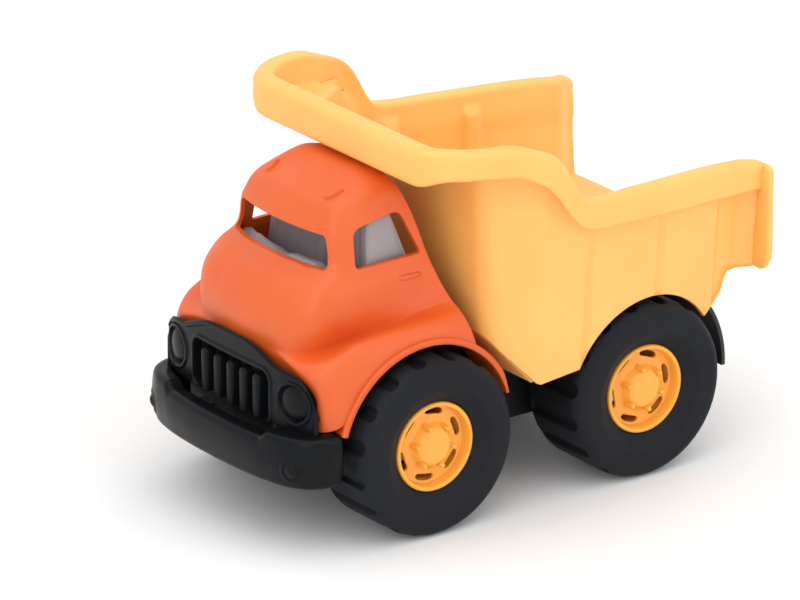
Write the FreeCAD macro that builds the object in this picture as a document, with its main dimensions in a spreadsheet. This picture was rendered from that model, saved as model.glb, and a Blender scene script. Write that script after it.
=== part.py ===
import FreeCAD
import Part
import os
import re

import Sketcher

# A toy dump truck for small children: moulded plastic cab, tipping bed, four big tyres.
# Frame: +Z up, the truck faces -Y, +X is the truck's left side, and the origin is on the
# ground under the middle of the truck. Lengths are millimetres, angles are degrees.

DIMENSIONS = {
    # running gear
    "rim_radius": 22.0,
    "tyre_radius": 44.0,
    "tyre_width": 42.0,
    "tyre_face": 77.0,
    "lug_count": 16,
    "lug_depth": 3.0,
    "wheel_base": 124.4,
    "front_axle": -56.5,
    "axle_radius": 3.0,
    "hub_radius": 9.0,
    "hub_inner": 28.8,
    # fits
    "running_gap": 0.1,
    "part_gap": 0.3,
    # overall
    "half_length": 136.0,
    "wall": 2.5,
    # chassis
    "chassis_half": 28.0,
    "chassis_bottom": 26.0,
    "chassis_top": 52.0,
    "guard_radius": 54.0,
    # cab
    "cab_roof": 168.0,
    "cab_half": 67.5,
    "arch_radius": 48.2,
    "arch_lip": 51.5,
    # bed
    "bed_crest": 189.5,
    "bed_valley": 153.8,
    "bed_tail": 146.5,
    "bed_floor": 96.5,
    "bed_skirt": 62.5,
    "bed_draft": 7.0,
    "bed_half": 84.5,
    "bed_tail_half": 73.0,
    "lip_half": 91.5,
    "lip_tail_half": 79.5,
    "flange_half": 84.5,
    "bed_arch_radius": 49.0,
    "hinge_y": 109.0,
    "hinge_z": 82.0,
    "pin_radius": 2.5,
    # fasteners
    "screw_radius": 1.5,
    "screw_head": 3.0,
}

doc = FreeCAD.newDocument("toy_dump_truck")
sheet = doc.addObject("Spreadsheet::Sheet", "sheet")
for row, (alias, number) in enumerate(DIMENSIONS.items(), start=1):
    sheet.set(f"A{row}", alias)
    sheet.set(f"B{row}", str(number))
    sheet.setAlias(f"B{row}", alias)
doc.recompute()

ALIAS = re.compile(r"\b(" + "|".join(DIMENSIONS) + r")\b")
SIDES = {"left": 1, "right": -1}
CLIP_HOLES = ((14, -8), (14, 8), (-14, -8), (-14, 8))
pieces = []


# ---- helpers --------------------------------------------------------------------------

def cells(expression):
    """Turn the alias words of an expression into references to the sheet."""
    return ALIAS.sub(r"sheet.\1", str(expression))


def value(expression):
    """Work an expression of the sheet's cells out as a number."""
    return float(sheet.evalExpression(cells(expression)))


def bind(item, **properties):
    """Tie properties of a document object to expressions of the sheet's cells."""
    for name, expression in properties.items():
        item.setExpression(name, cells(expression))
    return item


def origin_plane(body, role):
    """Return the body's own origin plane of that role."""
    return next(plane for plane in body.Origin.OriginFeatures if plane.Role == role)


def new_body(name):
    """Start a PartDesign body."""
    return doc.addObject("PartDesign::Body", name)


def outline(body, name, role, corners, offset="0"):
    """Sketch a closed outline through corners, each given as two expressions."""
    sketch = body.newObject("Sketcher::SketchObject", name)
    sketch.AttachmentSupport = [(origin_plane(body, role), "")]
    sketch.MapMode = "FlatFace"
    bind(sketch, **{"AttachmentOffset.Base.z": offset})
    points = [FreeCAD.Vector(value(a), value(b), 0) for a, b in corners]
    count = len(points)
    for index, start in enumerate(points):
        sketch.addGeometry(Part.LineSegment(start, points[(index + 1) % count]))
    for index in range(count):
        sketch.addConstraint(Sketcher.Constraint("Coincident", index, 2, (index + 1) % count, 1))
    for index, corner in enumerate(corners):
        for kind, expression in zip(("DistanceX", "DistanceY"), corner):
            rule = Sketcher.Constraint(kind, -1, 1, index, 1, value(expression))
            number = sketch.addConstraint(rule)
            sketch.setExpression(f"Constraints[{number}]", cells(expression))
    return sketch


def mirrored(half):
    """Close a half outline, given for positive X from top to bottom, with its mirror image."""
    return list(half) + [(f"-({a})", b) for a, b in reversed(half) if str(a) != "0"]


def pad(body, sketch, length):
    """Pad a sketch evenly to both sides of its plane."""
    feature = body.newObject("PartDesign::Pad", sketch.Name + "_pad")
    feature.Profile = sketch
    feature.SideType = "Symmetric"
    bind(feature, Length=length)
    return feature


def slab(name, role, corners, length, offset="0"):
    """Make a body of one outline padded evenly about a plane."""
    body = new_body(name)
    pad(body, outline(body, name + "_outline", role, corners, offset), length)
    return body


def box(name, low, high):
    """Make a box between two corners."""
    item = doc.addObject("Part::Box", name)
    for axis, side, start, end in zip("xyz", ("Length", "Width", "Height"), low, high):
        bind(item, **{side: f"({end}) - ({start})", f"Placement.Base.{axis}": start})
    return item


def cylinder(name, start, radius, height, axis="Z"):
    """Make a cylinder from its start point along +X or +Z."""
    item = doc.addObject("Part::Cylinder", name)
    turn = {"X": FreeCAD.Rotation(FreeCAD.Vector(0, 1, 0), 90), "Z": FreeCAD.Rotation()}[axis]
    item.Placement = FreeCAD.Placement(FreeCAD.Vector(), turn)
    bind(item, Radius=radius, Height=height)
    bind(item, **{f"Placement.Base.{key}": place for key, place in zip("xyz", start)})
    return item


def fuse(name, items):
    """Join several objects into one."""
    item = doc.addObject("Part::MultiFuse", name)
    item.Shapes = items
    item.Refine = True
    return item


def common(name, items):
    """Keep what several objects share."""
    item = doc.addObject("Part::MultiCommon", name)
    item.Shapes = items
    return item


def cut(name, base, tool):
    """Take one object out of another."""
    item = doc.addObject("Part::Cut", name)
    item.Base = base
    item.Tool = tool
    return item


def group(name, items):
    """Keep several separate solids as one object."""
    item = doc.addObject("Part::Compound", name)
    item.Links = items
    return item


def piece(item, label):
    """Name a finished sub-part and keep it for the export."""
    item.Label = label
    pieces.append(item)
    return item


# ---- wheels and axles -----------------------------------------------------------------

def tyre(label, side, axle):
    """Balloon tyre with a recessed sidewall and rounded cross lugs."""
    inner = "tyre_face - tyre_width"
    body = new_body(label)
    profile = [
        (f"{inner} + 1", "rim_radius - 1"),
        (f"{inner} + 1", "tyre_radius * 0.7"),
        (inner, "tyre_radius * 0.8"),
        (inner, "tyre_radius * 0.935"),
        (f"{inner} + 5", "tyre_radius"),
        ("tyre_face - 5", "tyre_radius"),
        ("tyre_face", "tyre_radius * 0.935"),
        ("tyre_face", "tyre_radius * 0.675"),
        ("tyre_face - 4", "rim_radius + 0.4"),
        ("tyre_face - 7", "rim_radius + 0.4"),
        ("tyre_face - 7", "rim_radius - 1"),
    ]
    profile = [(f"({x}) * {side}", r) for x, r in profile]
    turned = body.newObject("PartDesign::Revolution", label + "_turned")
    turned.Profile = outline(body, label + "_profile", "XY_Plane", profile)
    turned.ReferenceAxis = (origin_plane(body, "X_Axis"), [""])
    turned.Angle = 360
    groove = [
        (f"({inner} + 3.5) * {side}", "-tyre_radius * 0.07"),
        (f"({inner} + 3.5) * {side}", "tyre_radius * 0.07"),
        (f"(tyre_face - 3.5) * {side}", "tyre_radius * 0.07"),
        (f"(tyre_face - 3.5) * {side}", "-tyre_radius * 0.07"),
    ]
    sketch = outline(body, label + "_groove", "XY_Plane", groove, "tyre_radius + 1")
    pocket = body.newObject("PartDesign::Pocket", label + "_pocket")
    pocket.Profile = sketch
    bind(pocket, Length="lug_depth + 1")
    pattern = body.newObject("PartDesign::PolarPattern", label + "_lugs")
    pattern.Originals = [pocket]
    pattern.Axis = (origin_plane(body, "X_Axis"), [""])
    pattern.Angle = 360
    bind(pattern, Occurrences="lug_count")
    body.Tip = pattern
    turn = FreeCAD.Rotation(FreeCAD.Vector(1, 0, 0), 180 / DIMENSIONS["lug_count"])
    body.Placement = FreeCAD.Placement(FreeCAD.Vector(0, value(axle), value("tyre_radius")), turn)
    bind(body, **{"Placement.Base.y": axle, "Placement.Base.z": "tyre_radius"})
    return piece(body, label)


def rim(label, side, axle):
    """Dished rim with six windows, a hub and six lug posts, pressed on the axle."""
    body = new_body(label)
    face = "tyre_face - 4"
    profile = [
        ("hub_inner", "axle_radius"),
        ("hub_inner", "hub_radius"),
        (f"{face} - 16", "hub_radius"),
        (f"{face} - 16", "rim_radius - 3"),
        (f"{face} - 30", "rim_radius - 3"),
        (f"{face} - 30", "rim_radius - 1"),
        (f"{face} - 3", "rim_radius - 1"),
        (f"{face} - 3", "rim_radius"),
        (face, "rim_radius"),
        (face, "rim_radius - 3"),
        (f"{face} - 12", "rim_radius - 5"),
        (f"{face} - 12", "rim_radius * 0.5"),
        (f"{face} - 3", "rim_radius * 0.45"),
        (f"{face} - 3", "0"),
        (f"{face} - 8", "0"),
        (f"{face} - 8", "axle_radius"),
    ]
    profile = [(f"({x}) * {side}", r) for x, r in profile]
    turned = body.newObject("PartDesign::Revolution", label + "_turned")
    turned.Profile = outline(body, label + "_profile", "XY_Plane", profile)
    turned.ReferenceAxis = (origin_plane(body, "X_Axis"), [""])
    turned.Angle = 360
    window = [
        ("-rim_radius * 0.27", "rim_radius * 0.58"),
        ("rim_radius * 0.27", "rim_radius * 0.58"),
        ("rim_radius * 0.27", "rim_radius * 0.74"),
        ("-rim_radius * 0.27", "rim_radius * 0.74"),
    ]
    sketch = outline(body, label + "_window", "YZ_Plane", window, f"({face} - 14) * {side}")
    pocket = body.newObject("PartDesign::Pocket", label + "_window_pocket")
    pocket.Profile = sketch
    pocket.SideType = "Symmetric"
    bind(pocket, Length="8")
    pattern = body.newObject("PartDesign::PolarPattern", label + "_windows")
    pattern.Originals = [pocket]
    pattern.Axis = (origin_plane(body, "X_Axis"), [""])
    pattern.Angle = 360
    pattern.Occurrences = 6
    body.Tip = pattern
    bind(body, **{"Placement.Base.y": axle, "Placement.Base.z": "tyre_radius"})
    return piece(body, label)


def axle(label, place):
    """Steel rod through the chassis, pressed into a rim at each end."""
    reach = "tyre_face - 12.5"
    rod = cylinder(label, (f"-({reach})", place, "tyre_radius"), "axle_radius", f"2 * ({reach})", "X")
    return piece(rod, label)


# ---- chassis --------------------------------------------------------------------------

def chassis():
    """Black moulded frame: beam, bed rest, hinge ears, rear mudguards, axle slots."""
    beam = slab("beam", "YZ_Plane", [
        ("-half_length + 10", "36"),
        ("-half_length + 10", "chassis_top"),
        ("-32", "chassis_top"),
        ("6", "chassis_top + 8"),
        ("10", "bed_floor - 3 - part_gap"),
        ("48", "bed_floor - 3 - part_gap"),
        ("56", "chassis_top + 8"),
        ("117", "chassis_top + 8"),
        ("117", "36"),
        ("107", "chassis_bottom"),
        ("-100", "chassis_bottom"),
    ], "2 * chassis_half")
    rest_hollow = box("rest_hollow", ("-chassis_half + 4", "14", "chassis_top - 6"),
                      ("chassis_half - 4", "44", "bed_floor"))
    guard_x = "tyre_face - 11"
    guard_low = "chassis_half - 6"
    guards = []
    for name, sign in SIDES.items():
        low = guard_low if sign > 0 else f"-({guard_x})"
        place = (low, "front_axle + wheel_base", "tyre_radius")
        width = f"{guard_x} - ({guard_low})"
        full = cylinder(f"guard_outer_{name}", place, "guard_radius", width, "X")
        inside = cylinder(f"guard_inner_{name}", place, "guard_radius - 2", width, "X")
        guards.append(cut(f"guard_ring_{name}", full, inside))
    sector = slab("guard_sector", "YZ_Plane", [
        ("front_axle + wheel_base", "tyre_radius - 2"),
        ("half_length", "tyre_radius - 2"),
        ("half_length", "80"),
        ("front_axle + wheel_base + 34", "84"),
    ], "4 * chassis_half + 100")
    guard = common("mudguards", [fuse("guard_rings", guards), sector])
    tail = box("tail_wall", ("-chassis_half", "109", "chassis_top"), ("chassis_half", "117", "70"))
    ears = []
    for name, sign in SIDES.items():
        ear = slab(f"ear_{name}", "YZ_Plane", [
            ("hinge_y - 7", "chassis_top"),
            ("hinge_y - 7", "hinge_z"),
            ("hinge_y - 4", "hinge_z + 6"),
            ("hinge_y + 4", "hinge_z + 6"),
            ("hinge_y + 7", "hinge_z"),
            ("hinge_y + 7", "chassis_top"),
        ], "5", f"{sign} * 23.5")
        ears.append(ear)
    solid = fuse("chassis_solid", [beam, guard, tail] + ears)
    cuts = [rest_hollow]
    for name, place in (("front", "front_axle"), ("rear", "front_axle + wheel_base")):
        bore = cylinder(f"{name}_bore", ("-chassis_half - 1", place, "tyre_radius"),
                        "axle_radius + running_gap", "2 * chassis_half + 2", "X")
        slot = box(f"{name}_slot",
                   ("-chassis_half - 1", f"{place} - axle_radius - running_gap", "chassis_bottom - 1"),
                   ("chassis_half + 1", f"{place} + axle_radius + running_gap", "tyre_radius"))
        seat = box(f"{name}_clip_seat", ("-20", f"{place} - 12", "chassis_bottom - 1"),
                   ("20", f"{place} + 12", "chassis_bottom + 3"))
        cuts += [bore, slot, seat]
        for number, (x, y) in enumerate(CLIP_HOLES):
            cuts.append(cylinder(f"{name}_pilot_{number}", (str(x), f"{place} + {y}", "chassis_bottom"),
                                 "screw_radius", "12"))
    cuts.append(cylinder("pin_bore", ("-chassis_half", "hinge_y", "hinge_z"), "pin_radius",
                         "2 * chassis_half", "X"))
    for number, (x, y) in enumerate(CAB_POSTS + SEAT_POSTS):
        cuts.append(cylinder(f"post_hole_{number}", (str(x), str(y), "chassis_bottom - 1"),
                             "screw_radius", "chassis_top"))
        cuts.append(cylinder(f"head_hole_{number}", (str(x), str(y), "chassis_bottom - 1"),
                             "screw_head + 0.5", "chassis_top - chassis_bottom - 5"))
    for number, x in enumerate((16, -16)):
        hole = cylinder(f"bumper_hole_{number}", (str(x), "-half_length + 16", "36 - 1"),
                        "screw_radius", "30")
        cuts.append(hole)
    piece(cut("chassis_cut", solid, fuse("chassis_cuts", cuts)), "chassis_frame")


def axle_clip(label, place):
    """Plate under the chassis with a tongue that holds the axle up in its slot."""
    plate = box(label + "_plate", ("-20", f"{place} - 12", "chassis_bottom - 0.5"),
                ("20", f"{place} + 12", "chassis_bottom + 3"))
    tongue = box(label + "_tongue", ("-20", f"{place} - axle_radius", "chassis_bottom + 2"),
                 ("20", f"{place} + axle_radius", "tyre_radius - axle_radius - 0.2"))
    holes = [cylinder(f"{label}_hole_{number}", (str(x), f"{place} + {y}", "chassis_bottom - 2"),
                      "screw_radius", "8")
             for number, (x, y) in enumerate(CLIP_HOLES)]
    body = fuse(label + "_body", [plate, tongue])
    piece(cut(label + "_cut", body, fuse(label + "_holes", holes)), label)


def screw(name, x, y, head_z, length):
    """Upright screw driven from below: a pan head under a plain shank."""
    head = cylinder(name + "_head", (x, y, f"({head_z}) - 2"), "screw_head", "2")
    shank = cylinder(name + "_shank", (x, y, head_z), "screw_radius", length)
    return fuse(name, [head, shank])


def clip_screws():
    """Eight screws that hold the two axle clips."""
    screws = []
    for axle_name, place in (("front", "front_axle"), ("rear", "front_axle + wheel_base")):
        for number, (x, y) in enumerate(CLIP_HOLES):
            screws.append(screw(f"clip_screw_{axle_name}_{number}", str(x), f"{place} + {y}",
                                "chassis_bottom - 0.5", "11"))
    piece(group("clip_screw_set", screws), "clip_screws")


def post_screws(label, posts):
    """Screws up through the chassis into moulded posts."""
    screws = [screw(f"{label}_{number}", str(x), str(y), "chassis_top - 6", "14")
              for number, (x, y) in enumerate(posts)]
    piece(group(label + "_set", screws), label)


# ---- front end ------------------------------------------------------------------------

CAB_POSTS = [(18, -109), (-18, -109), (18, -38.5), (-18, -38.5)]
SEAT_POSTS = [(10, -88), (-10, -88), (10, -70), (-10, -70)]


def cab_blank(name, inset, floor):
    """Cab volume, drawn in by the inset: the hood and greenhouse, and the fenders beside them."""
    side = slab(name + "_side", "YZ_Plane", [
        (f"-117 + {inset}", floor),
        (f"-120 + {inset}", "72"),
        (f"-118.5 + {inset}", "92"),
        (f"-117 + {inset}", f"105 - {inset} * 0.2"),
        (f"-113 + {inset} * 0.8", f"115.5 - {inset} * 0.6"),
        (f"-106 + {inset} * 0.6", f"123 - {inset} * 0.8"),
        (f"-94 + {inset} * 0.5", f"128.5 - {inset}"),
        (f"-88 + {inset}", "145.5"),
        (f"-80 + {inset} * 0.5", f"158 - {inset}"),
        (f"-61 + {inset} * 0.2", f"cab_roof - {inset}"),
        (f"-52.5 - {inset}", f"162 - {inset}"),
        (f"-44.4 - {inset}", "141"),
        (f"-40 - {inset}", "128"),
        (f"-31 - {inset}", "94"),
        (f"-31 - {inset}", floor),
    ], "2 * cab_half + 20")
    front = slab(name + "_front", "XZ_Plane", mirrored([
        (f"27 - {inset} * 0.3", f"cab_roof - {inset}"),
        (f"35 - {inset} * 0.7", f"162.5 - {inset} * 0.7"),
        (f"38.5 - {inset}", "152"),
        (f"42.5 - {inset}", "130"),
        (f"48 - {inset}", "118"),
        (f"54 - {inset}", "107"),
        (f"60 - {inset}", "97"),
        (f"60 - {inset}", floor),
    ]), "300")
    plan = slab(name + "_plan", "XY_Plane", mirrored([
        (f"32 - {inset} * 0.5", f"-120 + {inset}"),
        (f"42 - {inset} * 0.7", f"-114 + {inset} * 0.7"),
        (f"46 - {inset}", f"-104 + {inset} * 0.3"),
        (f"60 - {inset}", "-70"),
        (f"60 - {inset}", f"-31 - {inset}"),
    ]), "400")
    fender_side = slab(name + "_fender_side", "YZ_Plane", [
        (f"-117 + {inset}", floor),
        (f"-117 + {inset}", f"76 - {inset} * 0.3"),
        (f"-113 + {inset} * 0.7", f"87 - {inset} * 0.7"),
        (f"-103 + {inset} * 0.5", f"94 - {inset}"),
        ("-84", f"99 - {inset}"),
        (f"-31 - {inset}", f"101 - {inset}"),
        (f"-31 - {inset}", floor),
    ], "2 * cab_half + 20")
    fender_front = slab(name + "_fender_front", "XZ_Plane", mirrored([
        ("44", f"101 - {inset}"),
        (f"58 - {inset} * 0.5", f"98 - {inset}"),
        (f"65 - {inset}", f"93 - {inset} * 0.5"),
        (f"cab_half - {inset}", "84"),
        (f"cab_half - {inset}", floor),
    ]), "300")
    fender_plan = slab(name + "_fender_plan", "XY_Plane", mirrored([
        (f"46 - {inset} * 0.5", f"-117 + {inset}"),
        (f"57 - {inset} * 0.7", f"-112 + {inset} * 0.7"),
        (f"64 - {inset}", f"-102 + {inset} * 0.3"),
        (f"cab_half - {inset}", "-90"),
        (f"cab_half - {inset}", f"-31 - {inset}"),
    ]), "400")
    hood = common(name + "_hood", [side, front, plan])
    fenders = common(name + "_fenders", [fender_side, fender_front, fender_plan])
    return fuse(name, [hood, fenders])


def cab():
    """Orange cab moulding: skin, wheel arches with a raised lip, window openings, posts."""
    blank = cab_blank("cab_outer", "0", "59.3")
    cavity = cab_blank("cab_inner", "wall", "50")
    skin = cut("cab_skin", blank, cavity)
    lips = []
    for name, sign in SIDES.items():
        start = "cab_half - 7" if sign > 0 else "-cab_half"
        place = (start, "front_axle", "tyre_radius")
        full = cylinder(f"arch_lip_{name}", place, "arch_lip", "7", "X")
        lips.append(full)
    sector = slab("arch_sector", "YZ_Plane", [
        ("front_axle", "tyre_radius + 10"),
        ("half_length * 0.2", "tyre_radius + 16"),
        ("half_length * 0.2", "110"),
        ("-110", "110"),
        ("-110", "tyre_radius + 15"),
        ("front_axle - 20", "tyre_radius + 15"),
    ], "2 * cab_half")
    lip = common("arch_lips", [fuse("arch_discs", lips), sector])
    posts = fuse("cab_posts", [cylinder(f"cab_post_{number}", (str(x), str(y), "chassis_top"), "4.5", "90")
                               for number, (x, y) in enumerate(CAB_POSTS)])
    post_space = cab_blank("post_space", "1", "50")
    held = common("cab_posts_held", [posts, post_space])
    solid = fuse("cab_solid", [skin, lip, held])
    side_window = slab("side_window", "YZ_Plane", [
        ("-81", "129.5"),
        ("-80", "147"),
        ("-54", "151.5"),
        ("-43", "130"),
    ], "2 * cab_half")
    windscreen = slab("windscreen", "XZ_Plane", mirrored([
        ("34", "145"),
        ("37.5", "129"),
    ]), "30", "96")
    wells = []
    for name, sign in SIDES.items():
        start = "31" if sign > 0 else "-31 - cab_half"
        wells.append(cylinder(f"well_{name}", (start, "front_axle", "tyre_radius"), "arch_radius",
                              "cab_half", "X"))
    pilots = [cylinder(f"cab_pilot_{number}", (str(x), str(y), "chassis_top - 1"), "screw_radius", "16")
              for number, (x, y) in enumerate(CAB_POSTS)]
    openings = fuse("cab_openings", [side_window, windscreen] + wells + pilots)
    piece(cut("cab_cut", solid, openings), "cab_shell")


def interior():
    """Grey moulding inside the cab: dashboard, floor and ribbed seat block."""
    tray = slab("tray", "YZ_Plane", [
        ("-99", "100"),
        ("-99", "117"),
        ("-94", "123"),
        ("-91", "127.5"),
        ("-87", "128"),
        ("-86", "104"),
        ("-78.5", "104"),
        ("-77", "146"),
        ("-74", "149.5"),
        ("-56", "151"),
        ("-48.5", "124"),
        ("-45", "100"),
    ], "68")
    ribs = [box(f"seat_rib_{number}", (f"{x} - 2", "-79.5", "108"), (f"{x} + 2", "-70", "145"))
            for number, x in enumerate(range(-30, 31, 6))]
    posts = [cylinder(f"seat_post_{number}", (str(x), str(y), "chassis_top"), "4.5", "50")
             for number, (x, y) in enumerate(SEAT_POSTS)]
    pilots = [cylinder(f"seat_pilot_{number}", (str(x), str(y), "chassis_top - 1"), "screw_radius", "16")
              for number, (x, y) in enumerate(SEAT_POSTS)]
    body = fuse("interior_body", [tray] + ribs + posts)
    piece(cut("interior_cut", body, fuse("interior_pilots", pilots)), "cab_interior")


def grille():
    """Black grille mask over the nose, with slots between bars and two round headlights."""
    blank = cab_blank("grille_outer", "-5", "54")
    nose = cab_blank("grille_nose", "0", "50")
    mask = slab("grille_mask", "XZ_Plane", mirrored([
        ("30", "93"),
        ("38", "89"),
        ("50", "85"),
        ("58", "77"),
        ("58", "59.5"),
    ]), "36", "120")
    lamps = [cylinder(f"headlight_{name}", (f"{sign} * 45.5", "-125", "72.2"), "9.3", "14")
             for name, sign in SIDES.items()]
    for lamp in lamps:
        lamp.Placement.Rotation = FreeCAD.Rotation(FreeCAD.Vector(1, 0, 0), -90)
    front = fuse("grille_front", [common("grille_shell", [blank, mask])] + lamps)
    slots = [box(f"grille_slot_{number}", (f"{x} - 2.2", "-140", "64"), (f"{x} + 2.2", "-114", "86"))
             for number, x in enumerate((-25, -15, -5, 5, 15, 25))]
    piece(cut("grille_cut", front, fuse("grille_spaces", [nose] + slots)), "grille")


def bumper():
    """Black bumper bar that wraps round the front corners, with two fog lamps."""
    body = new_body("bumper_bar")
    half = [
        ("0", "-half_length"),
        ("36", "-half_length + 2"),
        ("53", "-half_length + 5"),
        ("63", "-half_length + 11"),
        ("68", "-half_length + 21"),
        ("cab_half", "-half_length + 31.5"),
        ("cab_half - 8", "-half_length + 31.5"),
        ("58", "-half_length + 22"),
        ("50", "-half_length + 14"),
        ("36", "-half_length + 10"),
        ("0", "-half_length + 10"),
    ]
    corners = half + [(f"-({x})", y) for x, y in reversed(half[1:-1])]
    bar = pad(body, outline(body, "bumper_plan", "XY_Plane", corners, "45.5"), "27")
    doc.recompute()
    edges = [f"Edge{number}" for number, edge in enumerate(bar.Shape.Edges, start=1)
             if abs(edge.BoundBox.ZLength) < 0.01 and edge.BoundBox.YMin < value("-half_length + 30")
             and outer_edge(edge)]
    rounded = body.newObject("PartDesign::Fillet", "bumper_rounded")
    rounded.Base = (bar, edges)
    rounded.Radius = 3
    body.Tip = rounded
    lamps = []
    for name, sign in SIDES.items():
        lamp = doc.addObject("Part::Sphere", f"fog_lamp_{name}")
        bind(lamp, Radius="4")
        bind(lamp, **{"Placement.Base.x": f"{sign} * 55.4", "Placement.Base.y": "-half_length + 8.5",
                      "Placement.Base.z": "43"})
        lamps.append(lamp)
    piece(fuse("bumper_body", [body] + lamps), "front_bumper")


def outer_edge(edge):
    """Tell the bumper's outer edges from its inner ones by their distance from the middle."""
    middle = edge.CenterOfMass
    return abs(middle.x) / 66 + abs(middle.y) / value("half_length") > 0.9 or \
        middle.y < value("-half_length + 9")


# ---- bed ------------------------------------------------------------------------------

def tub_blank(name, inset, rear):
    """Tub volume: drafted walls, bevelled front corners, narrower at the tail; drawn in by the inset."""
    body = new_body(name)
    stations = [
        (f"-27 + {inset}", f"63 - {inset} * 0.7"),
        ("-5", f"bed_half - 4.5 - {inset}"),
        ("22", f"bed_half - {inset}"),
        (rear, f"bed_tail_half - {inset}"),
    ]
    sketches = []
    for number, (y, half) in enumerate(reversed(stations)):
        section = mirrored([(f"{half} + 2", "bed_crest + 10"), (half, "bed_valley"),
                            (f"{half} - bed_draft", "bed_skirt")])
        sketches.append(outline(body, f"{name}_{number}", "XZ_Plane", section, f"-({y})"))
    loft = body.newObject("PartDesign::AdditiveLoft", name + "_loft")
    loft.Profile = sketches[0]
    loft.Sections = sketches[1:]
    loft.Ruled = True
    return body


def rim_line():
    """Top of the bed's side seen from the left: high over the cab, an S down, level to the tail."""
    return [
        ("-20", "bed_crest"),
        ("-10.5", "bed_crest - 4.5"),
        ("-1", "bed_crest - 10.5"),
        ("5", "bed_crest - 16.5"),
        ("15.5", "bed_valley + 6"),
        ("20", "bed_valley + 1.5"),
        ("26", "bed_valley"),
        ("half_length - 5", "bed_tail"),
        ("half_length", "bed_tail - 2"),
    ]


def bed():
    """Yellow tipping bed: tub, canopy over the cab, rolled lip, rear flanges, hinge lugs."""
    side = slab("tub_side", "YZ_Plane", [("-27", "bed_crest - 0.5")] + rim_line() + [
        ("half_length", "98"),
        ("half_length - 3", "92.5"),
        ("119", "91.5"),
        ("116.5", "81.5"),
        ("108.5", "72.5"),
        ("98", "bed_skirt"),
        ("25", "bed_skirt + 2.5"),
        ("-1", "bed_skirt"),
        ("-23.5", "88.7"),
    ], "2 * lip_half")
    tub = common("tub", [side, tub_blank("tub_volume", "0", "half_length")])
    canopy_side = slab("canopy_side", "YZ_Plane", [
        ("-57", "171.5"),
        ("-57", "bed_crest"),
        ("-20", "bed_crest"),
        ("-14", "bed_crest - 3"),
        ("-14", "167"),
        ("-26", "166"),
    ], "2 * lip_half")
    canopy_plan = slab("canopy_plan", "XY_Plane", mirrored([
        ("49", "-57"),
        ("64", "-53.5"),
        ("78", "-40"),
        ("85", "-25"),
        ("85", "0"),
    ]), "500")
    canopy = common("canopy", [canopy_side, canopy_plan])
    lip_side = slab("lip_side", "YZ_Plane", [("-61", "bed_crest - 20"), ("-61", "bed_crest")] + rim_line() + [
        ("half_length", "bed_tail - 17"),
        ("25", "bed_valley - 17"),
        ("9", "bed_valley - 8"),
        ("-5", "bed_crest - 25"),
        ("-22", "bed_crest - 18.5"),
    ], "2 * lip_half + 20")
    lip_plan = slab("lip_plan", "XY_Plane", mirrored([
        ("50", "-61"),
        ("68", "-57.5"),
        ("83", "-43"),
        ("89", "-26"),
        ("lip_half", "-10"),
        ("lip_half", "28"),
        ("lip_tail_half", "half_length"),
    ]), "500")
    lip = common("lip", [lip_side, lip_plan])
    flanges = []
    for name, sign in SIDES.items():
        corners = [
            ("bed_tail_half - 6.5", "91"),
            ("flange_half - 3", "91"),
            ("flange_half", "140"),
            ("flange_half - 5", "bed_tail - 2"),
            ("bed_tail_half - 2.5", "bed_tail - 2"),
        ]
        signed = [(f"({x}) * {sign}", z) for x, z in corners]
        flanges.append(slab(f"rear_flange_{name}", "XZ_Plane", signed, "3", "1.5 - half_length"))
    solid = fuse("bed_solid", [tub, canopy, lip] + flanges)

    load_side = slab("load_side", "YZ_Plane", [
        ("-20.5", "bed_floor"),
        ("-23.5", "169"),
        ("-23.5", "bed_crest + 9"),
        ("half_length + 9", "bed_crest + 9"),
        ("half_length + 9", "bed_floor"),
    ], "2 * lip_half")
    load_space = common("load_space", [load_side, tub_blank("load_volume", "wall", "half_length + 10")])
    under_side = slab("under_side", "YZ_Plane", [
        ("-20.5", "bed_floor - 3"),
        ("half_length + 9", "bed_floor - 3"),
        ("half_length + 9", "50"),
        ("3.5", "50"),
        ("3.5", "bed_skirt"),
        ("-20.5", "90"),
    ], "2 * lip_half")
    under_space = common("under_space", [under_side, tub_blank("under_volume", "wall", "half_length + 10")])
    canopy_side_in = slab("canopy_space_side", "YZ_Plane", [
        ("-54.5", "174.5"),
        ("-54.5", "bed_crest + 9"),
        ("14", "bed_crest + 9"),
        ("14", "169.5"),
        ("-25", "169"),
    ], "2 * lip_half")
    canopy_plan_in = slab("canopy_space_plan", "XY_Plane", mirrored([
        ("48", "-54.5"),
        ("63", "-51.5"),
        ("76", "-38.5"),
        ("82.5", "-24"),
        ("83", "14"),
    ]), "500")
    canopy_space = common("canopy_space", [canopy_side_in, canopy_plan_in])
    arch = cylinder("bed_arch", ("-lip_half - 10", "front_axle + wheel_base", "tyre_radius"),
                    "bed_arch_radius", "2 * lip_half + 20", "X")
    hollow = cut("bed_hollow", solid, fuse("bed_spaces", [load_space, under_space, canopy_space, arch]))

    lugs = []
    for name, sign in SIDES.items():
        lugs.append(slab(f"lug_{name}", "YZ_Plane", [
            ("hinge_y - 6", "bed_floor - 1"),
            ("hinge_y - 6", "hinge_z - 3"),
            ("hinge_y - 3", "hinge_z - 6"),
            ("hinge_y + 3", "hinge_z - 6"),
            ("hinge_y + 6", "hinge_z - 3"),
            ("hinge_y + 6", "bed_floor - 1"),
        ], "5", f"{sign} * 17.5"))
    with_lugs = fuse("bed_with_lugs", [hollow] + lugs)
    bore = cylinder("lug_bore", ("-21", "hinge_y", "hinge_z"), "pin_radius + running_gap", "42", "X")
    piece(cut("bed_cut", with_lugs, bore), "dump_bed")


def hinge_pin():
    """Steel pin pressed into the chassis ears; the bed's lugs turn on it."""
    piece(cylinder("hinge_rod", ("-26", "hinge_y", "hinge_z"), "pin_radius", "52", "X"), "bed_hinge_pin")


# ---- build and write ------------------------------------------------------------------

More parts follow.
